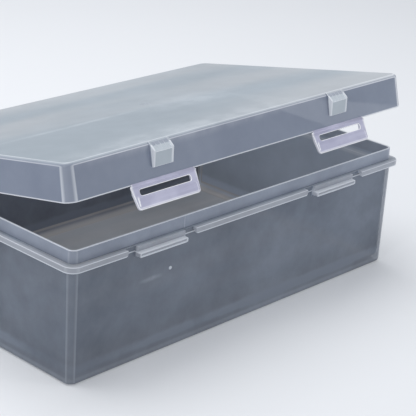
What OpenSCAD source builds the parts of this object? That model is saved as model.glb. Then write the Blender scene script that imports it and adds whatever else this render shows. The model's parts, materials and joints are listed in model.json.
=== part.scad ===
// Clear storage box for seed packets: a deep tray, a shallow lid on snap-in rear
// hinges, and two slotted flap latches that snap over catch bars on the tray.
// The origin is the centre of the tray's flat underside. X runs along the latch
// side from left to right, Y to the hinge side and Z up.

/* [Tray] */
// Length over the flange
box_w = 250; // [200:1:320]
// Depth over the flange, latch side to hinge side
box_d = 158.2; // [120:0.2:220]
// Height of the flange's top face
tray_h = 63.8; // [40:0.2:110]
// Thickness of the tray walls
wall_t = 1.6; // [1.2:0.1:2.2]
// Thickness of the floor
floor_t = 1.6; // [1.2:0.1:2.6]
// How far each wall leans in from the flange to the base
tray_draft = 0.7; // [0.2:0.1:2]
// Radius along the outer bottom edge
base_round = 1.5; // [0.8:0.1:3]
// Radius where the floor meets the walls inside
floor_fillet = 5; // [2:0.5:8]
// Corner radius of the flange and the lid, seen from above
corner_r = 6; // [5.4:0.1:12]

/* [Flange and rim] */
// How far the flange stands out from the wall
flange_out = 3; // [2.4:0.1:4]
// Height of the flange's outer lip
flange_h = 3.1; // [2.6:0.1:5]
// Thickness of the flange's top web
web_t = 1.4; // [1:0.1:2]
// Thickness of the flange's down-turned lip
lip_t = 1.2; // [0.8:0.1:1.6]
// Height of the rim above the flange
rim_h = 6.8; // [4:0.1:10]
// Thickness of the rim
rim_t = 1.2; // [0.9:0.1:1.6]
// How far the rim's outer face stands in from the flange edge
rim_in = 3.7; // [3.2:0.1:4.4]

/* [Lid] */
// Height of the lid
lid_h = 18.7; // [14:0.1:30]
// Thickness of the lid walls
lid_wall = 1.5; // [1.2:0.1:2]
// Thickness of the lid's top
lid_top_t = 1.5; // [1.2:0.1:2.5]
// How far each lid wall leans in from the lower edge to the top
lid_draft = 0.8; // [0.2:0.1:2]
// Radius along the lid's top edge
lid_round = 1.8; // [1:0.1:3]
// Gap left between the closed lid and the flange
lid_seat = 0.15; // [0.1:0.05:0.4]
// Angle at which the lid stands ajar
lid_ajar = 11.2; // [0:0.1:60]

/* [Latches] */
// Distance of each latch from the middle of the box
latch_x = 66; // [45:1:70]
// Width of the flap at its hinge
latch_w = 43.6; // [36:0.1:50]
// How much narrower the flap gets on each side towards its lower edge
latch_taper = 1; // [0:0.1:2]
// Length of the flap below its hinge axis
latch_h = 11.5; // [10:0.1:16]
// Thickness of the flap
latch_t = 1.5; // [1.3:0.1:2]
// Corner radius at the flap's lower end
latch_r = 2; // [1:0.1:3]
// Width of the slot in the flap
slot_w = 34.2; // [26:0.1:35]
// Height of the slot
slot_h = 3; // [2.6:0.1:4]
// Distance from the hinge axis to the slot
slot_drop = 1.8; // [1.6:0.1:2.4]
// Gap between the latched slot edge and the catch bar
latch_play = 0.12; // [0.08:0.01:0.3]
// Angle at which the flaps hang out from the lid's wall
latch_out = 20.5; // [18:0.5:90]

/* [Rear hinges] */
// Distance of each hinge from the middle of the box
hinge_x = 66; // [40:1:90]
// Length of each hook on the lid
hook_w = 21; // [12:0.5:30]
// Diameter of the pin moulded between the ears
pin_d = 3; // [2.4:0.1:4]
// Height of the pin's axis above the flange
pin_rise = 4; // [3.8:0.1:6]
// Radial clearance of the hook on the pin
pin_play = 0.08; // [0.03:0.01:0.1]
// Wall thickness of the hook round the pin
hook_t = 1.4; // [1:0.1:2]
// Width of the hook's mouth as a share of the pin diameter
mouth_share = 0.74; // [0.6:0.01:0.85]
// Thickness of each ear
ear_t = 1.8; // [1.2:0.1:2.5]
// Height of the gusset below each ear
ear_drop = 11; // [8:0.5:20]

/* [Lid bosses] */
// Width of each boss
boss_w = 13.3; // [8:0.1:18]
// Height of the boss's lower edge above the lid's lower edge
boss_low = 6.2; // [5:0.1:8]
// Height of the boss's front ridge above the lid's lower edge
boss_ridge = 14.2; // [11:0.1:16]
// How far the boss stands out at its lower edge
boss_out_low = 1.3; // [1:0.1:1.6]
// How far the boss stands out at its ridge
boss_out_top = 2.8; // [1.8:0.1:3.2]
// Thickness of the two cheeks
cheek_t = 1; // [0.7:0.1:1.5]
// How far the panels between the cheeks are sunk
boss_sink = 0.6; // [0.3:0.1:0.9]

/* [Hidden] */
clear_pp = [0.62, 0.65, 0.71];
flap_pp = [0.76, 0.77, 0.86];
$fn = 48;

// Gaps between moving pieces
bead_gap = 0.15;
hook_side_gap = 0.4;
hook_back_gap = 0.4;
frame_gap = 1.3;
bar_end_gap = 0.8;
bar_top_gap = 0.35;

// Corners: steps in each quarter turn, and the smallest radius used inside
arc_steps = 10;
small_r = 0.5;
// How far the wall's own corner is rounder than an even offset of the flange corner
wall_corner_more = 1.6;
// Edge breaks
edge_break = 0.3;
round_steps = 3;
fillet_steps = 5;

// Levels
rim_top = tray_h + rim_h;
lid_base = tray_h + lid_seat;
half_d = box_d / 2;

// Hinge of the lid
pin_r = pin_d / 2;
bore_r = pin_r + pin_play;
hook_r = bore_r + hook_t;
axis_y = half_d + hook_r + hook_back_gap;
axis_z = tray_h + pin_rise;
ear_back_gap = 0.3;
ear_r = axis_y - half_d - ear_back_gap;
ear_gap = hook_w + 2 * hook_side_gap;

// Hinge of the flaps: the axis lies on the flap's outer face, just outside the wall
bead_r = 0.5;
flap_proud = 0.4;
skin_proud = 0.1;
flap_axis_y = -(half_d + flap_proud);
flap_axis_z = lid_base - bead_gap - bead_r;
strip_t = 0.9;
slot_lead = 0.9;
slot_lead_drop = 0.6;
slot_r = 1.2;
slot_low = slot_drop + slot_h;
border_w = 1.1;
panel_sink = 0.3;

// Catch bar and the recess that the flap drops into
recess_w = latch_w + 2 * frame_gap;
bar_w = slot_w - 2 * bar_end_gap;
bar_top = flap_axis_z - slot_drop - bar_top_gap;
bar_low = flap_axis_z - slot_low + latch_play;
bar_proud = flap_proud + 0.8;
nib_gap = 0.15;
nib_drop = 0.15;
shelf_in = 1;
notch_ridge = 0.4;
bar_hollow = 0.4;
bar_border = 0.7;
notch_r = 1.4;
bar_end_r = 0.9;

// Gate mark in the middle of the lid
gate_d = 6;
gate_sink = 0.3;
eps = 0.01;

// One ring of points round a rounded rectangle, inset from the flange edge
function ring(inset, z, r) = let (w = box_w / 2 - inset - r, d = half_d - inset - r)
    [for (c = [0:3], k = [0:arc_steps])
        let (a = 90 * (c + k / arc_steps), sx = (c == 0 || c == 3) ? 1 : -1, sy = c < 2 ? 1 : -1)
        [sx * w + r * cos(a), sy * d + r * sin(a), z]];

// A thin-walled form whose wall follows a profile of [inset, z, corner radius]
module shell(profile) {
    n = len(ring(0, 0, 1));
    last = (len(profile) - 1) * n;
    polyhedron(
        points = [for (p = profile) each ring(p[0], p[1], p[2])],
        faces = concat(
            [[for (i = [0:n - 1]) i]],
            [for (l = [0:len(profile) - 2], i = [0:n - 1])
                [l * n + i, (l + 1) * n + i, (l + 1) * n + (i + 1) % n, l * n + (i + 1) % n]],
            [[for (i = [n - 1:-1:0]) last + i]]));
}

// A prism along X with its outline drawn in the Y-Z plane
module along_x(width) {
    translate([-width / 2, 0, 0]) rotate([90, 0, 90]) linear_extrude(width) children();
}

// Rounded rectangle made of two bars and four discs
module slot_outline(w, h, r) {
    square([w - 2 * r, h], center = true);
    square([w, h - 2 * r], center = true);
    for (x = [-1, 1], y = [-1, 1]) translate([x * (w / 2 - r), y * (h / 2 - r)]) circle(r);
}

// Outer wall of the tray at a height: its inset and its corner radius
function wall_inset(z) = flange_out + tray_draft * (1 - z / tray_h);
function wall_r(inset) = max(small_r, corner_r - inset + wall_corner_more);

// Outer side of the tray, from the base up to the flange's outer lip
base_in = wall_inset(0);
tray_outside = concat(
    [for (k = [0:round_steps]) let (a = 90 * k / round_steps)
        let (i = base_in + base_round * (1 - sin(a)))
        [i, base_round * (1 - cos(a)), wall_r(base_in)]],
    [[flange_out, tray_h - web_t, wall_r(flange_out)],
     [lip_t, tray_h - web_t, corner_r - lip_t],
     [lip_t, tray_h - flange_h, corner_r - lip_t],
     [0, tray_h - flange_h, corner_r],
     [0, tray_h - edge_break, corner_r],
     [edge_break, tray_h, corner_r - edge_break]]);

// Rim above the flange
rim_inner = rim_in + rim_t;
tray_rim = [
    [rim_in, tray_h, wall_r(rim_in)],
    [rim_in, rim_top - edge_break, wall_r(rim_in)],
    [rim_in + edge_break, rim_top, wall_r(rim_in + edge_break)],
    [rim_inner - edge_break, rim_top, wall_r(rim_inner - edge_break)],
    [rim_inner, rim_top - edge_break, wall_r(rim_inner)]];

// Inner side of the tray, from the rim down to the floor
inner_low = base_in + wall_t;
tray_inside = [for (k = [0:fillet_steps]) let (a = 90 * k / fillet_steps)
    let (i = inner_low + floor_fillet * (1 - cos(a)))
    [i, floor_t + floor_fillet * (1 - sin(a)), max(small_r, wall_r(inner_low) - (i - inner_low))]];

// What a round corner takes off: a square less a quarter disc, drawn in X-Z and cut along Y
module corner_waste(r, from_y, deep) {
    translate([0, from_y, 0]) rotate([90, 0, 0]) linear_extrude(deep) difference() {
        translate([-1, -1]) square(r + 1);
        translate([r, r]) circle(r);
    }
}

// Where a flap drops into the flange: notches for its side frames and a shelf between
module flap_recess() {
    deep = flange_out - notch_ridge;
    for (s = [-1, 1]) mirror([s < 0 ? 1 : 0, 0, 0])
        translate([recess_w / 2, 0, tray_h - flange_h])
            corner_waste(notch_r, -half_d + lip_t + (flange_out - lip_t) / 4, flange_out + 1);
    for (s = [-1, 1]) mirror([s < 0 ? 1 : 0, 0, 0])
        translate([bar_w / 2, -half_d - 1, tray_h - flange_h - 1])
            cube([(recess_w - bar_w) / 2, deep + 1, flange_h + 2]);
    translate([-bar_w / 2 - eps, -half_d - 1, tray_h - flange_h - 1])
        cube([bar_w + 2 * eps, shelf_in + 1, flange_h + 2]);
}

// Catch bar: a shelf under the flange and a bar with a small nib along its lower edge
module catch_bar() {
    wall_y = -half_d + flange_out + wall_t / 2;
    tip_y = -half_d - bar_proud;
    nib_y = flap_axis_y - skin_proud - nib_gap;
    difference() {
        union() {
            along_x(bar_w) polygon([
                [wall_y, tray_h - edge_break], [-half_d + shelf_in, tray_h - edge_break],
                [-half_d + shelf_in, bar_top], [tip_y + edge_break, bar_top],
                [tip_y, bar_top - edge_break], [tip_y, bar_low + nib_drop],
                [tip_y + edge_break, bar_low - latch_play - nib_drop],
                [nib_y, bar_low - latch_play - nib_drop], [nib_y, bar_low],
                [-half_d + flange_out - notch_ridge, bar_low], [wall_y, bar_low - flange_out]]);
        }
        translate([0, tip_y + bar_hollow, (bar_top + bar_low) / 2]) rotate([90, 0, 0])
            linear_extrude(1)
                slot_outline(bar_w - 2 * bar_border, bar_top - bar_low - 2 * bar_border, bar_border / 2);
        for (x = [0, 1], z = [0, 1]) mirror([x, 0, 0])
            translate([-bar_w / 2, 0, z == 0 ? bar_low - latch_play - nib_drop : bar_top]) mirror([0, 0, z])
                corner_waste(bar_end_r, -half_d + shelf_in, shelf_in + bar_proud + 1);
    }
}

// Two ears that stand up behind the flange with a pin moulded between them, and a gusset below each ear
module hinge_ears() {
    wall_y = half_d - flange_out - wall_t / 2;
    front_y = half_d + ear_back_gap;
    for (s = [-1, 1]) translate([s * (ear_gap + ear_t) / 2, 0, 0]) along_x(ear_t) {
        translate([axis_y, axis_z]) circle(ear_r);
        polygon([
            [wall_y, tray_h - web_t / 2], [front_y, tray_h - web_t / 2], [front_y, axis_z],
            [axis_y + ear_r, axis_z], [axis_y + ear_r, tray_h - flange_h], [wall_y, tray_h - ear_drop]]);
    }
    translate([-ear_gap / 2 - ear_t / 2, axis_y, axis_z]) rotate([0, 90, 0])
        cylinder(h = ear_gap + ear_t, r = pin_r);
}

module tray() {
    color(clear_pp) {
        difference() {
            shell(concat(tray_outside, tray_rim, tray_inside));
            for (s = [-1, 1]) translate([s * latch_x, 0, 0]) flap_recess();
        }
        for (s = [-1, 1]) {
            translate([s * latch_x, 0, 0]) catch_bar();
            translate([s * hinge_x, 0, 0]) hinge_ears();
        }
    }
}

// Everything on the lid is drawn closed and then turned about the rear pins
module stand_ajar() {
    translate([0, axis_y, axis_z]) rotate([-lid_ajar, 0, 0]) translate([0, -axis_y, -axis_z])
        children();
}

// Lid wall: up the inside is drawn first, then the lower edge, then the outside
function lid_lean(z) = lid_draft * z / lid_h;
lid_in_z = lid_h - lid_top_t;
lid_in_r = 1.2;
lid_profile = concat(
    [for (k = [round_steps:-1:0]) let (a = 90 * k / round_steps)
        let (i = lid_wall + lid_lean(lid_in_z) + lid_in_r * (1 - cos(a)))
        [i, lid_base + lid_in_z - lid_in_r * (1 - sin(a)), max(small_r, corner_r - i)]],
    [[lid_wall, lid_base + edge_break, corner_r - lid_wall],
     [lid_wall - edge_break, lid_base, corner_r - lid_wall + edge_break],
     [edge_break, lid_base, corner_r - edge_break],
     [0, lid_base + edge_break, corner_r]],
    [for (k = [0:round_steps + 1]) let (a = 90 * k / (round_steps + 1))
        let (i = lid_lean(lid_h - lid_round) + lid_round * (1 - cos(a)))
        [i, lid_base + lid_h - lid_round * (1 - sin(a)), max(small_r, corner_r - i)]]);

// Boss on the lid's front wall: two cheeks with a sunk front panel and a sunk sloping roof
module boss() {
    top_y = -half_d + lid_draft + lid_round;
    root_y = -half_d + lid_wall / 2 + lid_draft;
    low = lid_base + boss_low;
    ridge = lid_base + boss_ridge;
    top = lid_base + lid_h - edge_break;
    for (s = [-1, 1]) translate([s * (boss_w - cheek_t) / 2, 0, 0]) along_x(cheek_t) polygon([
        [root_y, low], [-half_d - boss_out_low, low],
        [-half_d - boss_out_top, ridge], [-half_d - boss_out_top + edge_break, ridge + 2 * edge_break],
        [-half_d + lid_draft, top], [top_y, top], [root_y + lid_wall / 4, ridge]]);
    along_x(boss_w - cheek_t) polygon([
        [root_y, low], [-half_d - boss_out_low + boss_sink / 2, low],
        [-half_d - boss_out_top + boss_sink / 2, ridge - boss_sink],
        [-half_d + lid_draft, top - boss_sink], [root_y + lid_wall / 4, ridge]]);
    for (x = [-1:1]) translate([x * (boss_w - 2 * cheek_t) / 4, 0, 0]) along_x(cheek_t / 2) polygon([
        [-half_d - boss_out_top + boss_sink, ridge - 2 * boss_sink],
        [-half_d - boss_out_top + boss_sink / 4, ridge - boss_sink],
        [-half_d + lid_draft - boss_sink / 4, top - boss_sink / 2],
        [-half_d + lid_draft, top - 2 * boss_sink]]);
}

// Hook that snaps over the pin, with its mouth to the rear
module hinge_hook() {
    arm_top = axis_z + hook_r;
    arm_low = lid_base + edge_break;
    difference() {
        union() {
            along_x(hook_w) translate([axis_y, axis_z]) circle(hook_r);
            along_x(hook_w) polygon([
                [half_d - lid_wall / 2, arm_low], [axis_y - bore_r, arm_low], [axis_y, arm_low + hook_t / 2],
                [axis_y, arm_top], [half_d - lid_wall / 2, arm_top + hook_t]]);
        }
        translate([-hook_w / 2 - 1, axis_y, axis_z]) rotate([0, 90, 0]) cylinder(h = hook_w + 2, r = bore_r);
        translate([-hook_w / 2 - 1, axis_y, axis_z - mouth_share * pin_r])
            cube([hook_w + 2, 2 * hook_r, 2 * mouth_share * pin_r]);
    }
}

module lid() {
    color(clear_pp) stand_ajar() {
        difference() {
            shell(lid_profile);
            translate([0, 0, lid_base + lid_h - gate_sink]) cylinder(h = 1, d = gate_d);
        }
        for (s = [-1, 1]) {
            translate([s * latch_x, 0, 0]) boss();
            translate([s * hinge_x, 0, 0]) hinge_hook();
        }
    }
}

// Flap outline, hinge edge at the top: straight sides that draw in and round lower corners
function flap_half(y) = latch_w / 2 - latch_taper * y / latch_h;
function flap_corner(s) = [for (k = [0:arc_steps]) let (a = 90 * k / arc_steps)
    [s * (flap_half(latch_h) - latch_r + latch_r * cos(a)), -(latch_h - latch_r + latch_r * sin(a))]];
module flap_outline() {
    right = flap_corner(1);
    left = flap_corner(-1);
    polygon(concat([[latch_w / 2, 0]], right, [for (k = [len(left) - 1:-1:0]) left[k]], [[-latch_w / 2, 0]]));
}

// A flap hanging straight down from its axis at the origin, outer face towards -Y
module flap() {
    inner_y = latch_t - skin_proud;
    strip_y = strip_t - skin_proud;
    ramp = 0.8;
    difference() {
        intersection() {
            along_x(latch_w) polygon([
                [-skin_proud, 0], [bead_r, 0], [strip_y, -ramp], [strip_y, -slot_drop],
                [inner_y, -slot_drop - slot_h / 2], [inner_y, -latch_h], [-skin_proud, -latch_h]]);
            rotate([90, 0, 0]) translate([0, 0, -2 * latch_t]) linear_extrude(4 * latch_t) flap_outline();
        }
        translate([0, 2 * latch_t, -slot_drop - slot_h / 2]) rotate([90, 0, 0])
            linear_extrude(4 * latch_t) slot_outline(slot_w, slot_h, slot_r);
        along_x(slot_w) polygon([
            [inner_y + eps, -slot_low - slot_lead_drop], [inner_y - slot_lead, -slot_low + eps],
            [inner_y + eps, -slot_low + eps]]);
        translate([0, panel_sink - skin_proud, -(slot_low + latch_h) / 2]) rotate([90, 0, 0])
            linear_extrude(1) slot_outline(latch_w - 2 * latch_taper - 2 * border_w,
                latch_h - slot_low - 2 * border_w, slot_r);
    }
    along_x(latch_w) circle(bead_r);
}

module latch(side) {
    color(flap_pp) stand_ajar() translate([side * latch_x, flap_axis_y, flap_axis_z])
        rotate([-latch_out, 0, 0]) flap();
}

module latch_left() { latch(-1); }
module latch_right() { latch(1); }

tray();
lid();
latch_left();
latch_right();
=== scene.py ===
# Frosted seed box with its lid ajar: finishes, small moulded marks, hinge films, light and camera
import json
import math

import bmesh
import bpy
from mathutils import Matrix, Vector


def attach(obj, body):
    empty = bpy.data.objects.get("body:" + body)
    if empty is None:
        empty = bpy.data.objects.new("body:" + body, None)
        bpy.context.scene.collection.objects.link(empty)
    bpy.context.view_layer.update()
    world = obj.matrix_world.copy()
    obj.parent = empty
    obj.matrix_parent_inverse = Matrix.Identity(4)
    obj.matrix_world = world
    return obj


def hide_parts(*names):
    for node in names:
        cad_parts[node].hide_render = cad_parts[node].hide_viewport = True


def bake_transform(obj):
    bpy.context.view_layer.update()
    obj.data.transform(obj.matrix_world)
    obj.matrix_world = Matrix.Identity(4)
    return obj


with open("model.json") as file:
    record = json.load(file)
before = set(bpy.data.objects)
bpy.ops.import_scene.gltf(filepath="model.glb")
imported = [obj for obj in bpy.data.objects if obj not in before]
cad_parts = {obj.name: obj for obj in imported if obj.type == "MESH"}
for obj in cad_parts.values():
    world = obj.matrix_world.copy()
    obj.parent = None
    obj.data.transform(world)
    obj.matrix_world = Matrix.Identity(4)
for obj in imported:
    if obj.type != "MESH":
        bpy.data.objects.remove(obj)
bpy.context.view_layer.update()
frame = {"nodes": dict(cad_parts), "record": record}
recordJoints = {joint["name"]: joint for joint in frame["record"]["behaviour"]["joints"]}
ranges = {name: joint["range_deg"] for name, joint in recordJoints.items()}
pivots = {name: joint["pos_m"] for name, joint in recordJoints.items()}
print("stage: frame loaded,", len(frame["nodes"]), "nodes")


# Camera, fitted to the straight edges of the photograph's 416 x 416 frame
cameraSpec = {
    "place": (-0.53048, -0.53796, 0.33912),  # metres, in the model's frame
    "yaw": 47.168,  # degrees to the right of +Y
    "pitch": 21.544,  # degrees below level
    "roll": 3.437,
    "lens": 125.88,  # mm on the sensor below
    "sensor": 36.0,
    "nearest": 0.05, "furthest": 20.0,
}


def makeCamera(spec):
    yaw, pitch, roll = (math.radians(spec[k]) for k in ("yaw", "pitch", "roll"))
    ahead = Vector((math.sin(yaw) * math.cos(pitch), math.cos(yaw) * math.cos(pitch), -math.sin(pitch)))
    level = Vector((math.cos(yaw), -math.sin(yaw), 0.0))
    upright = level.cross(ahead)
    right = math.cos(roll) * level + math.sin(roll) * upright
    up = math.cos(roll) * upright - math.sin(roll) * level
    data = bpy.data.cameras.new("photoCamera")
    data.lens, data.sensor_width = spec["lens"], spec["sensor"]
    data.clip_start, data.clip_end = spec["nearest"], spec["furthest"]
    camera = bpy.data.objects.new("photoCamera", data)
    bpy.context.scene.collection.objects.link(camera)
    turn = Matrix((right, up, -ahead)).transposed().to_4x4()
    camera.matrix_world = Matrix.Translation(spec["place"]) @ turn
    bpy.context.scene.camera = camera


makeCamera(cameraSpec)
print("stage: camera set")


# Small helpers for node trees; an input takes a plain value or, to make a link, another node's output
def addNode(tree, kind, inputs=None, **settings):
    node = tree.nodes.new(kind)
    for name, value in settings.items():
        setattr(node, name, value)
    for key, value in (inputs or {}).items():
        if isinstance(value, bpy.types.NodeSocket):
            tree.links.new(value, node.inputs[key])
        else:
            node.inputs[key].default_value = value
    return node


def calc(tree, operation, *values, clamp=False):
    node = addNode(tree, "ShaderNodeMath", dict(enumerate(values)), operation=operation, use_clamp=clamp)
    return node.outputs[0]


def plus(tree, a, b, clamp=False):
    return calc(tree, "ADD", a, b, clamp=clamp)


def minus(tree, a, b):
    return calc(tree, "SUBTRACT", a, b)


def times(tree, a, b, clamp=False):
    return calc(tree, "MULTIPLY", a, b, clamp=clamp)


def over(tree, a, b):
    return calc(tree, "DIVIDE", a, b)


def larger(tree, a, b, clamp=False):
    return calc(tree, "MAXIMUM", a, b, clamp=clamp)


def unsigned(tree, a):
    return calc(tree, "ABSOLUTE", a)


fading = (1.0, 0.0)


def mapped(tree, value, span, ends=(0.0, 1.0), kind="SMOOTHSTEP"):
    # Over the span the result goes from one end value to the other, and it is flat beyond
    node = addNode(tree, "ShaderNodeMapRange", {0: value, 1: span[0], 2: span[1], 3: ends[0], 4: ends[1]},
                   interpolation_type=kind)
    return node.outputs[0]


def noise(tree, vector, scale, detail, rough=0.5, swirl=0.0):
    node = addNode(tree, "ShaderNodeTexNoise", {"Vector": vector, "Scale": scale, "Detail": detail,
                   "Roughness": rough, "Distortion": swirl})
    return node.outputs["Fac"]


def parts(tree, vector):
    return addNode(tree, "ShaderNodeSeparateXYZ", {0: vector}).outputs


def blendNumbers(tree, share, a, b):
    return addNode(tree, "ShaderNodeMix", {0: share, 2: a, 3: b}, data_type="FLOAT").outputs[0]


def blendColours(tree, share, a, b, mode="MIX"):
    node = addNode(tree, "ShaderNodeMix", {0: share, 6: a, 7: b}, data_type="RGBA", blend_type=mode)
    return node.outputs[2]


def newGroup(name, inputs, outputs):
    # The form of an input's starting value says which kind of socket it gets
    group = bpy.data.node_groups.new(name, "ShaderNodeTree")
    for label, value in inputs.items():
        kind = "Float" if isinstance(value, float) else {3: "Vector", 4: "Color"}[len(value)]
        socket = group.interface.new_socket(label, in_out="INPUT", socket_type="NodeSocket" + kind)
        socket.default_value = value
    for label, kind in outputs.items():
        group.interface.new_socket(label, in_out="OUTPUT", socket_type="NodeSocket" + kind)
    return group, group.nodes.new("NodeGroupInput").outputs, group.nodes.new("NodeGroupOutput")


# What every look of the frosted plastic shares; a span is where an effect comes or goes, in metres or shares
milkSpec = {
    "cloud": {"detail": 3.0, "rough": 0.55, "swirl": 0.4},
    "streak": {"scale": 1.0, "detail": 2.0, "rough": 0.5, "swirl": 0.3},
    "mottle": {"scale": 75.0, "detail": 4.0, "rough": 0.6},
    "grain": {"detail": 2.0, "rough": 0.6},
    "cloudSpan": (0.35, 0.68), "streakSpan": (0.36, 0.66), "mottleSpan": (0.3, 0.7),
    # which way a face looks: the normal's upright part, its part along X, and whether it looks to the middle
    "levelSpan": (0.5, 0.85), "endSpan": (0.3, 0.8), "inwardSpan": (-0.004, 0.004),
    # rounded corners: how far the normal leaves the axes, and the share of the painted highlight lost past
    # the second span
    "turnRise": (0.001, 0.016), "turnFall": (0.02, 0.12), "turnLoss": 0.75,
    # clouds thin the painted highlight, faces that lean down have none, and inner faces below the last span
    # have all of it
    "cornerCloud": (0.3, 0.62), "cornerLeast": 0.55, "leanSpan": (-0.15, -0.08), "deepSpan": (0.056, 0.059),
    # thick features, and painted lines of light along heights; the line's span is in line widths
    "outboardSpan": (0.0, 0.0003), "raisedSpan": (0.0, 0.0006), "lineSpan": (0.5, 1.1),
    "shineSpan": (0.0009, 0.0026), "floorSpan": (0.002, 0.0055), "floorGlow": 1.6,
    # scuffs, their span in scuff sizes
    "scuffSpan": (0.1, 1.0), "wearSpan": (0.35, 0.6), "wearLeast": 0.35,
    # the pale band above the foot and the painted shade pooled over it, in band heights above its low side
    "bandPeak": 0.35, "bandCloud": (0.3, 0.6), "footMiddle": -0.28, "footSpan": (0.05, 0.2),
    "shadePoolRise": (0.6, 0.9), "shadePoolFall": (0.9, 3.2), "shadePoolDepth": 0.16,
    # how much haze and thick features add to the density, and how far the roughness wanders
    "hazeDense": 0.25, "thickDense": 0.6, "mostDense": 0.97, "roughSpread": 0.14,
}
scuffLetters = "ABC"


# In the makers of the plastic's masks, g is the group's inputs by name and at is what surfaceParts gives
def surfaceParts(group, g):
    # Where a spot lies, which way it faces, and masks for inner and for level faces
    place, normal = parts(group, g["Vector"]), parts(group, g["Normal"])
    facing = [unsigned(group, part) for part in normal]
    outward = plus(group, times(group, normal[0], place[0]), times(group, normal[1], place[1]))
    return {
        "place": place, "normal": normal, "facing": facing,
        "level": mapped(group, facing[2], milkSpec["levelSpan"]),
        "inward": mapped(group, outward, milkSpec["inwardSpan"], fading),
    }


def noisePatterns(group, g):
    # Clouds, mottling and grain, and the long streaks of level and of upright faces; on the lid's top the
    # level streaks are a painted sheen
    made = {
        "cloud": noise(group, g["Vector"], g["Cloud Scale"], **milkSpec["cloud"]),
        "mottle": noise(group, g["Vector"], **milkSpec["mottle"]),
        "grain": noise(group, g["Vector"], g["Grain Scale"], **milkSpec["grain"]),
    }
    for label in ("Level", "Wall"):
        stretched = addNode(group, "ShaderNodeVectorMath", {0: g["Vector"], 1: g[label + " Stretch"]},
                            operation="MULTIPLY").outputs[0]
        streak = mapped(group, noise(group, stretched, **milkSpec["streak"]), milkSpec["streakSpan"])
        made[label] = times(group, streak, g[label + " Streak Amount"])
    return made


def hazeMask(group, g, pattern):
    # How much milky haze is added over the base colour
    cloud = times(group, mapped(group, pattern["cloud"], milkSpec["cloudSpan"]), g["Cloud Amount"])
    mottle = mapped(group, pattern["mottle"], milkSpec["mottleSpan"], kind="LINEAR")
    haze = plus(group, cloud, pattern["Wall"])
    return plus(group, haze, times(group, mottle, g["Mottle Amount"]), clamp=True)


def cornerMasks(group, g, at, pattern):
    # Rounded corners get a painted highlight where the surface turns, and most of all deep inside
    flat = larger(group, at["facing"][0], larger(group, at["facing"][1], at["facing"][2]))
    turn = minus(group, 1.0, flat)
    corner = minus(group, mapped(group, turn, milkSpec["turnRise"]),
                   mapped(group, turn, milkSpec["turnFall"], (0.0, milkSpec["turnLoss"])))
    clouded = mapped(group, pattern["cloud"], milkSpec["cornerCloud"], (milkSpec["cornerLeast"], 1.0))
    corner = times(group, corner, clouded)
    corner = times(group, corner, mapped(group, at["normal"][2], milkSpec["leanSpan"]))
    deep = times(group, at["inward"], mapped(group, at["place"][2], milkSpec["deepSpan"], fading))
    return times(group, corner, larger(group, g["Corner Amount"], deep)), deep


def thickMasks(group, g, at):
    # Features that stand proud of the walls, and all that lies above a height
    past = [minus(group, unsigned(group, at["place"][k]), g[label])
            for k, label in ((0, "Half X"), (1, "Half Y"))]
    outboard = mapped(group, larger(group, *past), milkSpec["outboardSpan"])
    raised = mapped(group, minus(group, at["place"][2], g["Thick Above"]), milkSpec["raisedSpan"])
    return times(group, larger(group, outboard, raised), g["Thick Amount"], clamp=True), outboard


def lineMasks(group, g, at):
    # A painted highlight line at one height and along the broken edges, partly the denser plastic seen
    # edge-on; a soft painted glow beside it and at the floor, inside
    height = unsigned(group, minus(group, at["place"][2], g["Line Height"]))
    line = minus(group, 1.0, mapped(group, over(group, height, g["Line Width"]), milkSpec["lineSpan"]))
    line = times(group, larger(group, line, g["Edge Line"]), g["Edge Amount"])
    # Painted light inside: a glow beside the line on inner faces that look along X, and another along the
    # inner floor
    beside = times(group, mapped(group, height, milkSpec["shineSpan"], fading), at["inward"])
    beside = times(group, beside, times(group, at["facing"][0], g["Inner Glow"]))
    low = times(group, at["inward"], mapped(group, at["place"][2], milkSpec["floorSpan"], fading))
    low = times(group, times(group, g["Inner Glow"], milkSpec["floorGlow"]), low)
    return line, larger(group, beside, low)


def scuffMask(group, g, mottle):
    # Up to three rubbed spots, each an ellipsoid that fades outwards and is broken up by the mottling
    wear = mapped(group, mottle, milkSpec["wearSpan"], (milkSpec["wearLeast"], 1.0))
    scuff = 0.0
    for k in scuffLetters:
        away = g["Vector"]
        for label, operation in (("Place", "SUBTRACT"), ("Size", "DIVIDE")):
            away = addNode(group, "ShaderNodeVectorMath", {0: away, 1: g[f"Scuff {k} {label}"]},
                           operation=operation).outputs[0]
        away = addNode(group, "ShaderNodeVectorMath", {0: away}, operation="LENGTH").outputs["Value"]
        spot = times(group, mapped(group, away, milkSpec["scuffSpan"], fading), wear)
        scuff = larger(group, scuff, times(group, spot, g[f"Scuff {k} Amount"]))
    return scuff


def bandMasks(group, g, at, cloud):
    # A pale band low on the walls, a thin foot line under it and a darker zone of painted shade above it
    rise = over(group, minus(group, at["place"][2], g["Band Low"]),
                minus(group, g["Band High"], g["Band Low"]))
    peak = milkSpec["bandPeak"]
    band = times(group, mapped(group, rise, (0.0, peak)), mapped(group, rise, (peak, 1.0), fading))
    band = times(group, times(group, band, g["Band Amount"]), mapped(group, cloud, milkSpec["bandCloud"]))
    offFoot = unsigned(group, minus(group, rise, milkSpec["footMiddle"]))
    foot = times(group, mapped(group, offFoot, milkSpec["footSpan"], fading), g["Foot Amount"])
    shadePool = times(group, mapped(group, rise, milkSpec["shadePoolFall"], (milkSpec["shadePoolDepth"], 0.0)),
                 mapped(group, rise, milkSpec["shadePoolRise"]))
    shadePool = minus(group, 1.0, times(group, shadePool, g["Band Amount"], clamp=True))
    return band, foot, shadePool


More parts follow.
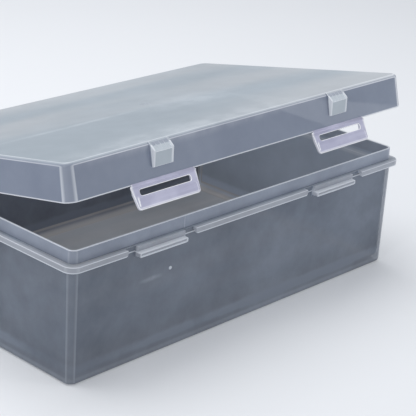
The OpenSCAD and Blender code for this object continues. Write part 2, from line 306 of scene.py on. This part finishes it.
def milkyPlasticGroup():
    # Frosted plastic: walls, inner faces, level faces, thick features, luminous edges, clouds and grain; the
    # edges' light, the level faces' light and the inner faces' shade and light are painted
    group, g, made = newGroup("milkyPlastic", {
        "Vector": (0.0, 0.0, 0.0), "Normal": (0.0, 0.0, 1.0), "Edge Line": 0.0,
        "Wall": (0.3, 0.33, 0.4, 1), "Inner": (0.2, 0.23, 0.3, 1), "Inner End": (0.2, 0.23, 0.3, 1),
        "Level": (0.4, 0.45, 0.5, 1), "Level Streak": (0.5, 0.52, 0.55, 1),
        "Thick": (0.5, 0.55, 0.6, 1), "Proud": (0.5, 0.55, 0.6, 1),
        "Edge": (0.8, 0.82, 0.86, 1), "Haze Added": (0.1, 0.1, 0.12, 1),
        "Cloud Scale": 9.0, "Cloud Amount": 0.3, "Mottle Amount": 0.2,
        "Level Stretch": (3.0, 18.0, 10.0), "Level Streak Amount": 0.5,
        "Wall Stretch": (16.0, 16.0, 3.0), "Wall Streak Amount": 0.2,
        "Corner Amount": 0.0, "Edge Amount": 0.9,
        "Thick Amount": 0.0, "Half X": 1.0, "Half Y": 1.0, "Thick Above": 1.0,
        "Line Height": 1.0, "Line Width": 0.0004, "Inner Glow": 0.0,
        "Band Low": -1.0, "Band High": -0.9, "Band Amount": 0.0, "Foot Amount": 0.0,
        **{f"Scuff {k} Place": (0.0, 0.0, 0.0) for k in scuffLetters},
        **{f"Scuff {k} Size": (0.01, 0.01, 0.01) for k in scuffLetters},
        **{f"Scuff {k} Amount": 0.0 for k in scuffLetters},
        "Clear": 0.5, "Inner Clear": 0.8, "Dense": 0.9, "Rough": 0.32, "Grain Scale": 900.0,
    }, {"Color": "Color", "Alpha": "Float", "Roughness": "Float", "Height": "Float"})
    at = surfaceParts(group, g)
    pattern = noisePatterns(group, g)
    haze = hazeMask(group, g, pattern)
    corner, deep = cornerMasks(group, g, at, pattern)
    thick, outboard = thickMasks(group, g, at)
    line, shine = lineMasks(group, g, at)
    scuff = scuffMask(group, g, pattern["mottle"])
    band, foot, shadePool = bandMasks(group, g, at, pattern["cloud"])
    # The edge mask gathers the painted highlights of corners, edge lines and the inner glow, partly the
    # denser plastic seen edge-on, and the foot line and the scuffs
    edge = larger(group, larger(group, corner, line, clamp=True), shine)
    edge = larger(group, edge, larger(group, foot, scuff))

    # Inner faces take a darker colour, painted shade inside; where they look along X they take Inner End, on
    # the tray a lighter colour of painted light
    towardsEnd = mapped(group, at["facing"][0], milkSpec["endSpan"])
    innerShadeAndLight = blendColours(group, towardsEnd, g["Inner"], g["Inner End"])
    colour = blendColours(group, at["inward"], g["Wall"], innerShadeAndLight)
    # Darkened by the painted shade above the band
    shade = addNode(group, "ShaderNodeCombineXYZ", {0: shadePool, 1: shadePool, 2: shadePool}).outputs[0]
    colour = blendColours(group, 1.0, colour, shade, "MULTIPLY")
    # Level faces take a lighter colour, painted light from above, streaked with Level Streak; on the lid's
    # top that is a painted sheen
    litLevelColour = blendColours(group, pattern["Level"], g["Level"], g["Level Streak"])
    colour = blendColours(group, at["level"], colour, litLevelColour)
    colour = blendColours(group, thick, colour, blendColours(group, outboard, g["Thick"], g["Proud"]))
    colour = blendColours(group, plus(group, haze, band, clamp=True), colour, g["Haze Added"], "ADD")
    colour = blendColours(group, edge, colour, blendColours(group, deep, g["Edge"], g["Level Streak"]))

    inner = larger(group, at["inward"], at["level"], clamp=True)
    clear = blendNumbers(group, inner, g["Clear"], g["Inner Clear"])
    solid = larger(group, times(group, thick, milkSpec["thickDense"]), edge)
    dense = plus(group, times(group, haze, milkSpec["hazeDense"]), solid, clamp=True)
    alpha = blendNumbers(group, dense, clear, g["Dense"])
    wander = times(group, minus(group, pattern["cloud"], 0.5), milkSpec["roughSpread"])
    rough = plus(group, g["Rough"], wander, clamp=True)
    for label, value in (("Color", colour), ("Alpha", alpha), ("Roughness", rough),
                         ("Height", pattern["grain"])):
        group.links.new(value, made.inputs[label])
    return group


# The painted highlight framing the lid's bosses and the flaps, and the flaps' painted glint; spans and
# lengths in metres
panelSpec = {
    "wander": {"scale": 420.0, "detail": 2.0}, "wanderReach": 0.0014,
    "frameSpan": (0.75, 1.15),  # in frame widths
    "glintIn": 0.0024, "glintSpan": (0.0002, 0.0009),
    "glintFoot": (0.0012, 0.0022), "glintHead": (0.005, 0.0072),
    "proudSpan": (0.0, 0.0003),
}


def panelFrameGroup():
    # A soft painted highlight framing the sides and the lower edge of a panel that is there left and right of
    # the middle, and a painted glint inside the panel's left side
    group, g, made = newGroup("panelFrame", {
        "Vector": (0.0, 0.0, 0.0), "Centre X": 0.066, "Half X": 0.02, "Low Z": -1.0, "Beyond Y": 0.0,
        "Frame Width": 0.0012, "Frame Amount": 0.4, "Glint Amount": 0.0,
    }, {"Mask": "Float"})
    place = parts(group, g["Vector"])
    aside = minus(group, unsigned(group, place[0]), g["Centre X"])
    inside = minus(group, g["Half X"], unsigned(group, aside))
    above = minus(group, place[2], g["Low Z"])
    near = over(group, calc(group, "MINIMUM", inside, above), g["Frame Width"])
    rim = times(group, mapped(group, near, panelSpec["frameSpan"], fading), g["Frame Amount"])
    wander = times(group, minus(group, noise(group, g["Vector"], **panelSpec["wander"]), 0.5),
                   panelSpec["wanderReach"])
    fromLeft = plus(group, times(group, calc(group, "SIGN", place[0]), aside), g["Half X"])
    offGlint = unsigned(group, minus(group, plus(group, fromLeft, wander), panelSpec["glintIn"]))
    tall = times(group, mapped(group, above, panelSpec["glintFoot"]),
                 mapped(group, above, panelSpec["glintHead"], fading))
    glint = times(group, mapped(group, offGlint, panelSpec["glintSpan"], fading), tall)
    mask = larger(group, rim, times(group, glint, g["Glint Amount"]))
    proud = mapped(group, minus(group, unsigned(group, place[1]), g["Beyond Y"]), panelSpec["proudSpan"])
    group.links.new(times(group, mask, proud), made.inputs["Mask"])
    return group


milkyPlastic = milkyPlasticGroup()
panelFrame = panelFrameGroup()


def plasticMaterial(name, look, tilt=0.0, pivot=(0.0, 0.0, 0.0)):
    # A piece that stands at an angle about X is turned back about its pivot before the pattern is laid
    material = bpy.data.materials.new(name)
    material.use_nodes = True
    tree = material.node_tree
    surface = tree.nodes["Principled BSDF"]
    shift = Vector(pivot) - Matrix.Rotation(tilt, 3, "X") @ Vector(pivot)
    found = addNode(tree, "ShaderNodeTexCoord").outputs
    place = addNode(tree, "ShaderNodeMapping", {"Vector": found["Object"], "Rotation": (tilt, 0, 0),
                    "Location": tuple(shift)}).outputs[0]
    normal = addNode(tree, "ShaderNodeMapping", {"Vector": found["Normal"], "Rotation": (tilt, 0, 0)},
                     vector_type="NORMAL").outputs[0]
    bright = addNode(tree, "ShaderNodeAttribute", attribute_name="edgeLine").outputs["Fac"]
    if "panel" in look:
        # The panel's painted highlight joins the edge line mask
        framed = addNode(tree, "ShaderNodeGroup", {**look["panel"], "Vector": place}, node_tree=panelFrame)
        bright = larger(tree, bright, framed.outputs["Mask"])
    milk = addNode(tree, "ShaderNodeGroup", {**look["pattern"], "Vector": place, "Normal": normal,
                   "Edge Line": bright}, node_tree=milkyPlastic).outputs
    # Denser where it is seen at a slant, thinner from behind and for shadows
    slant = addNode(tree, "ShaderNodeLayerWeight").outputs["Facing"]
    alpha = plus(tree, milk["Alpha"], times(tree, slant, look["slantAlpha"]), clamp=True)
    alpha = calc(tree, "MINIMUM", alpha, milkSpec["mostDense"])
    behind = addNode(tree, "ShaderNodeNewGeometry").outputs["Backfacing"]
    shadow = addNode(tree, "ShaderNodeLightPath").outputs["Is Shadow Ray"]
    for ray, share in ((behind, look["behindShare"]), (shadow, look["shadowShare"])):
        alpha = times(tree, alpha, mapped(tree, ray, (0.0, 1.0), (1.0, share), "LINEAR"))
    bump = addNode(tree, "ShaderNodeBump", {"Height": milk["Height"], "Strength": look["grainStrength"],
                   "Distance": look["grainDepth"]}).outputs[0]
    for label, value in (("Base Color", milk["Color"]), ("Roughness", milk["Roughness"]), ("Alpha", alpha),
                         ("Normal", bump)):
        tree.links.new(value, surface.inputs[label])
    for label, value in look["surface"].items():
        surface.inputs[label].default_value = value
    return material


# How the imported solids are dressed; lengths in metres, angles in degrees
dressSpec = {
    "mergeGap": 2e-6, "flatAngle": 0.3, "sharpAngle": 33.0, "creaseAngle": 50.0,
    "breakWidth": 0.0003, "breakSegments": 2, "breakProfile": 0.5,
}


def softRegions(work, limit):
    # Faces that meet at less than the limit angle belong to one region
    work.faces.index_update()
    work.edges.index_update()
    soft = [len(edge.link_faces) == 2 and edge.calc_face_angle(math.pi) < limit for edge in work.edges]
    taken = [False] * len(work.faces)
    regions = []
    for start in list(work.faces):
        if taken[start.index]:
            continue
        taken[start.index] = True
        region = [start]
        for face in region:  # the list grows while it is walked
            for near in [other for edge in face.edges if soft[edge.index] for other in edge.link_faces]:
                if not taken[near.index]:
                    taken[near.index] = True
                    region.append(near)
        regions.append(region)
    return regions, soft


def breakEdges(work, narrow, clamp):
    # Bevels the sharp outer edges between broad faces; these and the solid's chamfers carry "edgeLine", the
    # mask of the painted edge highlight
    line = work.faces.layers.float.new("edgeLine")
    regions, soft = softRegions(work, math.radians(dressSpec["sharpAngle"]))
    slim = [False] * len(work.faces)
    for region in regions:
        border = sum(edge.calc_length() for face in region for edge in face.edges if not soft[edge.index])
        if border > 0 and 2 * sum(face.calc_area() for face in region) / border < narrow:
            for face in region:
                slim[face.index] = True
                face[line] = 1.0
    chosen = [edge for edge in work.edges
              if not soft[edge.index] and len(edge.link_faces) == 2 and edge.is_convex
              and not any(slim[face.index] for face in edge.link_faces)]
    made = bmesh.ops.bevel(work, geom=chosen, offset=dressSpec["breakWidth"], offset_type="OFFSET",
                           segments=dressSpec["breakSegments"], profile=dressSpec["breakProfile"],
                           affect="EDGES", clamp_overlap=clamp)
    for face in made["faces"]:
        face[line] = 1.0


def dressedCopy(node, name, material, spec):
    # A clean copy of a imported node: doubles merged, edges broken, flats kept flat and rounds smooth
    mesh = frame["nodes"][node].data.copy()
    mesh.name = name
    work = bmesh.new()
    work.from_mesh(mesh)
    bmesh.ops.remove_doubles(work, verts=work.verts, dist=dressSpec["mergeGap"])
    bmesh.ops.dissolve_limit(work, angle_limit=math.radians(dressSpec["flatAngle"]), verts=work.verts,
                             edges=work.edges)
    breakEdges(work, spec["narrow"], spec["clamp"])
    for face in work.faces:
        face.smooth = True
    crease = math.radians(dressSpec["creaseAngle"])
    for edge in work.edges:
        edge.smooth = len(edge.link_faces) == 2 and edge.calc_face_angle(0.0) < crease
    work.to_mesh(mesh)
    work.free()
    mesh.materials.clear()
    mesh.materials.append(material)
    piece = bpy.data.objects.new(name, mesh)
    bpy.context.scene.collection.objects.link(piece)
    piece.modifiers.new("flatFaces", "WEIGHTED_NORMAL").keep_sharp = True
    settled = bpy.data.meshes.new_from_object(piece.evaluated_get(bpy.context.evaluated_depsgraph_get()))
    piece.modifiers.clear()
    piece.data = settled
    settled.name = name
    return piece


# Where the lid and the flaps stand at rest, read from their ranges
lidOpen = -math.radians(ranges["lid_hinge"][0])
flapOpen = lidOpen - math.radians(ranges["latch_left_hinge"][0])
lidPivot, flapPivot = pivots["lid_hinge"], pivots["latch_left_hinge"]
latchX = pivots["latch_right_hinge"][0]

trayShell = {
    "pattern": {
        # The tray's Wall is darker than the lid's Wall of the same frosted plastic: painted shade
        "Wall": (0.076, 0.096, 0.134, 1),
        # Inner is painted shade inside the tray, and Inner End is painted light on its inner end walls
        "Inner": (0.052, 0.068, 0.112, 1), "Inner End": (0.33, 0.38, 0.465, 1),
        # Level is lighter than Wall: painted light on the faces that look up
        "Level": (0.175, 0.208, 0.25, 1), "Level Streak": (0.4, 0.38, 0.375, 1),
        "Thick": (0.25, 0.28, 0.35, 1), "Proud": (0.345, 0.36, 0.4, 1),
        "Edge": (0.72, 0.75, 0.8, 1), "Haze Added": (0.09, 0.1, 0.115, 1),
        "Cloud Scale": 9.0, "Cloud Amount": 0.45, "Mottle Amount": 0.45,
        "Level Stretch": (2.5, 55.0, 10.0), "Level Streak Amount": 0.6,
        "Wall Stretch": (16.0, 16.0, 3.0), "Wall Streak Amount": 0.25,
        "Corner Amount": 0.3, "Edge Amount": 0.75,
        "Thick Amount": 0.85, "Half X": 0.1226, "Half Y": 0.0767, "Thick Above": 0.0637,
        "Line Height": 0.0609, "Line Width": 0.0004, "Inner Glow": 0.4,
        "Band Low": 0.0048, "Band High": 0.0125, "Band Amount": 1.0, "Foot Amount": 0.08,
        "Scuff A Place": (-0.07, -0.076, 0.0428), "Scuff A Size": (0.01, 0.003, 0.002),
        "Scuff A Amount": 0.2,
        "Clear": 0.66, "Inner Clear": 0.92, "Dense": 0.95, "Rough": 0.36, "Grain Scale": 330.0,
    },
    "slantAlpha": 0.2, "behindShare": 0.2, "shadowShare": 0.5,
    "grainStrength": 0.12, "grainDepth": 0.0003, "surface": {"IOR": 1.49},
    "narrow": 0.00065, "clamp": True,  # slimmer faces count as chamfers, and bevels stop where they meet
}
trayPlastic = plasticMaterial("frostedTrayPlastic", trayShell)
trayPiece = dressedCopy("tray", "trayShell", trayPlastic, trayShell)
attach(trayPiece, "tray")
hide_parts("tray")
print("stage: tray dressed")

lidShell = {
    "pattern": {
        "Wall": (0.194, 0.226, 0.302, 1),
        # Inner is painted shade inside the lid
        "Inner": (0.13, 0.155, 0.22, 1), "Inner End": (0.13, 0.155, 0.22, 1),
        # Level is lighter than Wall, painted light on the top, and Level Streak is a painted sheen on it
        "Level": (0.302, 0.349, 0.392, 1), "Level Streak": (0.435, 0.445, 0.462, 1),
        "Thick": (0.235, 0.275, 0.33, 1), "Proud": (0.44, 0.49, 0.53, 1),
        "Edge": (0.8, 0.82, 0.86, 1), "Haze Added": (0.06, 0.065, 0.07, 1),
        "Cloud Scale": 7.0, "Cloud Amount": 0.4, "Mottle Amount": 0.4,
        "Level Stretch": (2.6, 17.0, 14.0), "Level Streak Amount": 0.75,
        "Wall Stretch": (12.0, 12.0, 6.0), "Wall Streak Amount": 0.3,
        "Corner Amount": 0.95, "Edge Amount": 0.85,
        "Thick Amount": 0.9, "Half X": 0.1255, "Half Y": 0.0793,
        "Line Height": 0.0642, "Line Width": 0.0005,
        "Scuff A Place": (-0.06, -0.008, 0.0827), "Scuff A Size": (0.07, 0.0035, 0.02),
        "Scuff B Place": (0.02, -0.014, 0.0827), "Scuff B Size": (0.05, 0.022, 0.02),
        "Scuff C Place": (-0.045, -0.074, 0.0827), "Scuff C Size": (0.13, 0.02, 0.006),
        "Scuff A Amount": 0.2, "Scuff B Amount": 0.15, "Scuff C Amount": 0.24,
        "Clear": 0.88, "Inner Clear": 0.86, "Dense": 0.96, "Rough": 0.35, "Grain Scale": 330.0,
    },
    "panel": {"Centre X": latchX, "Half X": 0.00665, "Beyond Y": 0.0794, "Frame Width": 0.0013,
              "Frame Amount": 0.8},
    "slantAlpha": 0.1, "behindShare": 0.2, "shadowShare": 0.42,
    "grainStrength": 0.1, "grainDepth": 0.0003, "surface": {"IOR": 1.49},
    "narrow": 0.00045, "clamp": True,  # as for the tray
}
lidPlastic = plasticMaterial("frostedLidPlastic", lidShell, lidOpen, lidPivot)
lidPiece = dressedCopy("lid", "lidShell", lidPlastic, lidShell)
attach(lidPiece, "lid")
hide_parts("lid")
print("stage: lid dressed")

# The flaps are the lid's own plastic; their lighter colour is painted light, as they lean out towards the
# light above, and the hinge films share it
flapPanels = {
    "pattern": {
        **{label: (0.46, 0.455, 0.605, 1) for label in ("Wall", "Inner", "Inner End", "Level")},
        "Level Streak": (0.6, 0.6, 0.78, 1),
        "Edge": (1.0, 1.0, 1.0, 1), "Haze Added": (0.14, 0.14, 0.14, 1),
        "Cloud Scale": 60.0, "Cloud Amount": 0.5, "Mottle Amount": 0.3,
        "Level Stretch": (30.0, 90.0, 400.0), "Level Streak Amount": 0.3,
        "Wall Stretch": (30.0, 90.0, 400.0), "Wall Streak Amount": 0.3,
        "Edge Amount": 1.0,
        "Clear": 0.88, "Inner Clear": 0.88, "Dense": 0.98, "Rough": 0.19, "Grain Scale": 700.0,
    },
    "panel": {"Centre X": latchX, "Half X": 0.0218, "Low Z": 0.08335, "Frame Width": 0.0013,
              "Frame Amount": 0.4, "Glint Amount": 0.9},
    "slantAlpha": 0.1, "behindShare": 0.3, "shadowShare": 0.5,
    "grainStrength": 0.06, "grainDepth": 0.0002,
    "surface": {"IOR": 1.49, "Coat Weight": 0.15, "Coat Roughness": 0.16},
    "narrow": 0.0004, "clamp": False,  # the bevels keep their full width
}
flapPlastic = plasticMaterial("litFlapPlastic", flapPanels, flapOpen, flapPivot)
for side in ("left", "right"):
    flap = dressedCopy("latch_" + side, side + "Flap", flapPlastic, flapPanels)
    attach(flap, "latch_" + side)
    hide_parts("latch_" + side)
print("stage: flaps dressed")


# Geometry Nodes: a tree with named inputs, run on a mesh and settled to a plain mesh
def newNodeTree(name, inputs):
    tree = bpy.data.node_groups.new(name, "GeometryNodeTree")
    tree.interface.new_socket("Geometry", in_out="INPUT", socket_type="NodeSocketGeometry")
    for label, value in inputs.items():
        socket = tree.interface.new_socket(label, in_out="INPUT", socket_type="NodeSocketFloat")
        socket.default_value = value
    tree.interface.new_socket("Geometry", in_out="OUTPUT", socket_type="NodeSocketGeometry")
    return tree, tree.nodes.new("NodeGroupInput").outputs, tree.nodes.new("NodeGroupOutput")


def endNodeTree(tree, geometry, material, output):
    realized = addNode(tree, "GeometryNodeRealizeInstances", {0: geometry}).outputs[0]
    smooth = addNode(tree, "GeometryNodeSetShadeSmooth", {0: realized}).outputs[0]
    finished = addNode(tree, "GeometryNodeSetMaterial", {0: smooth, "Material": material}).outputs[0]
    tree.links.new(finished, output.inputs[0])


def grown(name, tree, points, edges, values):
    mesh = bpy.data.meshes.new(name)
    mesh.from_pydata(points, edges, [])
    piece = bpy.data.objects.new(name, mesh)
    bpy.context.scene.collection.objects.link(piece)
    modifier = piece.modifiers.new("nodes", "NODES")
    modifier.node_group = tree
    for item in tree.interface.items_tree:
        if item.in_out == "INPUT" and item.name in values:
            modifier[item.identifier] = values[item.name]
    settled = bpy.data.meshes.new_from_object(piece.evaluated_get(bpy.context.evaluated_depsgraph_get()))
    piece.modifiers.remove(modifier)
    piece.data = settled
    settled.name = name
    return piece


# Small moulded marks on the tray: a blunt nub on the front wall and a raised witness line on the rim
mouldMarks = {
    "nubs": [(-0.057, -0.0759, 0.045)],
    "lines": [[(-0.048, -0.0754, 0.0642), (-0.048, -0.0754, 0.0703)]],  # from foot to head
    "nubRadius": 0.001, "nubFlatness": 0.45, "lineRadius": 0.00026,
    "nubSegments": 24, "nubRings": 12, "lineSides": 10,
    "brighter": {"Wall": (0.5, 0.53, 0.58, 1), "Clear": 0.92},  # in place of the tray's own values
}


def mouldMarkTree(spec, material):
    # A point by itself becomes a nub, and an edge becomes a line
    tree, given, output = newNodeTree("mouldMarks", {"Nub Radius": 0.001, "Line Radius": 0.0002})
    neighbours = addNode(tree, "GeometryNodeInputMeshVertexNeighbors").outputs[0]
    alone = addNode(tree, "FunctionNodeCompare", {"A": neighbours, "B": 0}, data_type="INT",
                    operation="EQUAL").outputs[0]
    ball = addNode(tree, "GeometryNodeMeshUVSphere", {"Segments": spec["nubSegments"],
                   "Rings": spec["nubRings"], "Radius": given["Nub Radius"]})
    nubs = addNode(tree, "GeometryNodeInstanceOnPoints", {"Points": given["Geometry"], "Selection": alone,
                   "Instance": ball.outputs[0], "Scale": (1.0, spec["nubFlatness"], 1.0)})
    ring = addNode(tree, "GeometryNodeCurvePrimitiveCircle", {"Resolution": spec["lineSides"],
                   "Radius": given["Line Radius"]})
    path = addNode(tree, "GeometryNodeMeshToCurve", {0: given["Geometry"]})
    lines = addNode(tree, "GeometryNodeCurveToMesh", {"Curve": path.outputs[0],
                    "Profile Curve": ring.outputs[0], "Fill Caps": True})
    both = tree.nodes.new("GeometryNodeJoinGeometry")
    for shape in (nubs, lines):
        tree.links.new(shape.outputs[0], both.inputs[0])
    endNodeTree(tree, both.outputs[0], material, output)
    return tree


def makeMouldMarks(spec):
    brightPattern = {**trayShell["pattern"], **spec["brighter"]}
    plastic = plasticMaterial("markPlastic", {**trayShell, "pattern": brightPattern})
    points = spec["nubs"] + [point for line in spec["lines"] for point in line]
    starts = range(len(spec["nubs"]), len(points), 2)
    marks = grown("mouldMarks", mouldMarkTree(spec, plastic), points, [(k, k + 1) for k in starts],
                  {"Nub Radius": spec["nubRadius"], "Line Radius": spec["lineRadius"]})
    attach(marks, "tray")


makeMouldMarks(mouldMarks)
print("stage: mould marks grown")

# Living hinges: a thin film from the lid's lower edge to the bead along the top of each flap
hingeFilms = {
    "width": 0.0424, "thickness": 0.00022,
    # the path's Y and Z on the closed part, from the lid's wall to the bead
    "path": [(-0.07925, 0.0648), (-0.0793, 0.06425), (-0.0795, 0.0639), (-0.07985, 0.0636),
             (-0.07998, 0.06325)],
}


def filmTree(material):
    tree, given, output = newNodeTree("hingeFilm", {"Width": 0.04, "Thickness": 0.0003})
    path = addNode(tree, "GeometryNodeMeshToCurve", {0: given["Geometry"]}).outputs[0]
    strip = addNode(tree, "GeometryNodeCurvePrimitiveQuadrilateral",
                    {"Width": given["Width"], "Height": given["Thickness"]}, mode="RECTANGLE").outputs[0]
    level = addNode(tree, "GeometryNodeSetCurveNormal", {0: path}, mode="Z_UP").outputs[0]
    film = addNode(tree, "GeometryNodeCurveToMesh", {"Curve": level, "Profile Curve": strip,
                   "Fill Caps": True}).outputs[0]
    endNodeTree(tree, film, material, output)
    return tree


def opened(y, z):
    # A point of the closed lid, carried to where the lid stands at rest
    y, z = y - lidPivot[1], z - lidPivot[2]
    c, s = math.cos(-lidOpen), math.sin(-lidOpen)
    return lidPivot[1] + c * y - s * z, lidPivot[2] + s * y + c * z


def makeHingeFilms(spec):
    tree = filmTree(flapPlastic)
    for side in ("left", "right"):
        middle = pivots["latch_" + side + "_hinge"][0]
        path = [(middle, *opened(y, z)) for y, z in spec["path"]]
        film = grown(side + "HingeFilm", tree, path, [(k, k + 1) for k in range(len(path) - 1)],
                     {"Width": spec["width"], "Thickness": spec["thickness"]})
        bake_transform(film)


makeHingeFilms(hingeFilms)
print("stage: hinge films grown")


# Pale floor, a pale sky and three soft lamps; lengths in metres, power in watts
studioSpec = {
    "floorSize": 7.0, "floorDrop": 0.0003,
    "floor": {"Base Color": (0.78, 0.79, 0.81, 1), "Roughness": 0.6, "Specular IOR Level": 0.2},
    "sky": {"Color": (0.86, 0.9, 0.96, 1), "Strength": 0.55},
    "lamps": {
        "topSoftbox": {
            "place": (-0.1, 0.35, 1.15), "aim": (0, 0, 0.08), "size": (1.1, 0.8), "power": 11.0},
        "leftStrip": {
            "place": (-1.25, -0.35, 0.5), "aim": (-0.1, -0.05, 0.06), "size": (0.18, 0.9), "power": 3.0},
        "frontStrip": {
            "place": (0.75, -1.15, 0.5), "aim": (-0.05, -0.05, 0.06), "size": (0.18, 0.9), "power": 2.6},
    },
}


def makeFloor(spec):
    half = spec["floorSize"] / 2
    mesh = bpy.data.meshes.new("floor")
    corners = [(x * half, y * half, -spec["floorDrop"]) for x, y in ((-1, -1), (1, -1), (1, 1), (-1, 1))]
    mesh.from_pydata(corners, [], [(0, 1, 2, 3)])
    floor = bpy.data.objects.new("floor", mesh)
    bpy.context.scene.collection.objects.link(floor)
    material = bpy.data.materials.new("paleFloor")
    material.use_nodes = True
    for label, value in spec["floor"].items():
        material.node_tree.nodes["Principled BSDF"].inputs[label].default_value = value
    mesh.materials.append(material)


def makeLights(spec):
    world = bpy.data.worlds.new("paleSky")
    world.use_nodes = True
    for label, value in spec["sky"].items():
        world.node_tree.nodes["Background"].inputs[label].default_value = value
    bpy.context.scene.world = world
    for name, lamp in spec["lamps"].items():
        data = bpy.data.lights.new(name, "AREA")
        data.shape = "RECTANGLE"
        data.size, data.size_y = lamp["size"]
        data.energy = lamp["power"]
        light = bpy.data.objects.new(name, data)
        light.location = lamp["place"]
        towards = Vector(lamp["aim"]) - Vector(lamp["place"])
        light.rotation_euler = towards.to_track_quat("-Z", "Y").to_euler()
        bpy.context.scene.collection.objects.link(light)


makeFloor(studioSpec)
makeLights(studioSpec)
bpy.context.scene.view_settings.view_transform = "Standard"
print("stage: studio lit")
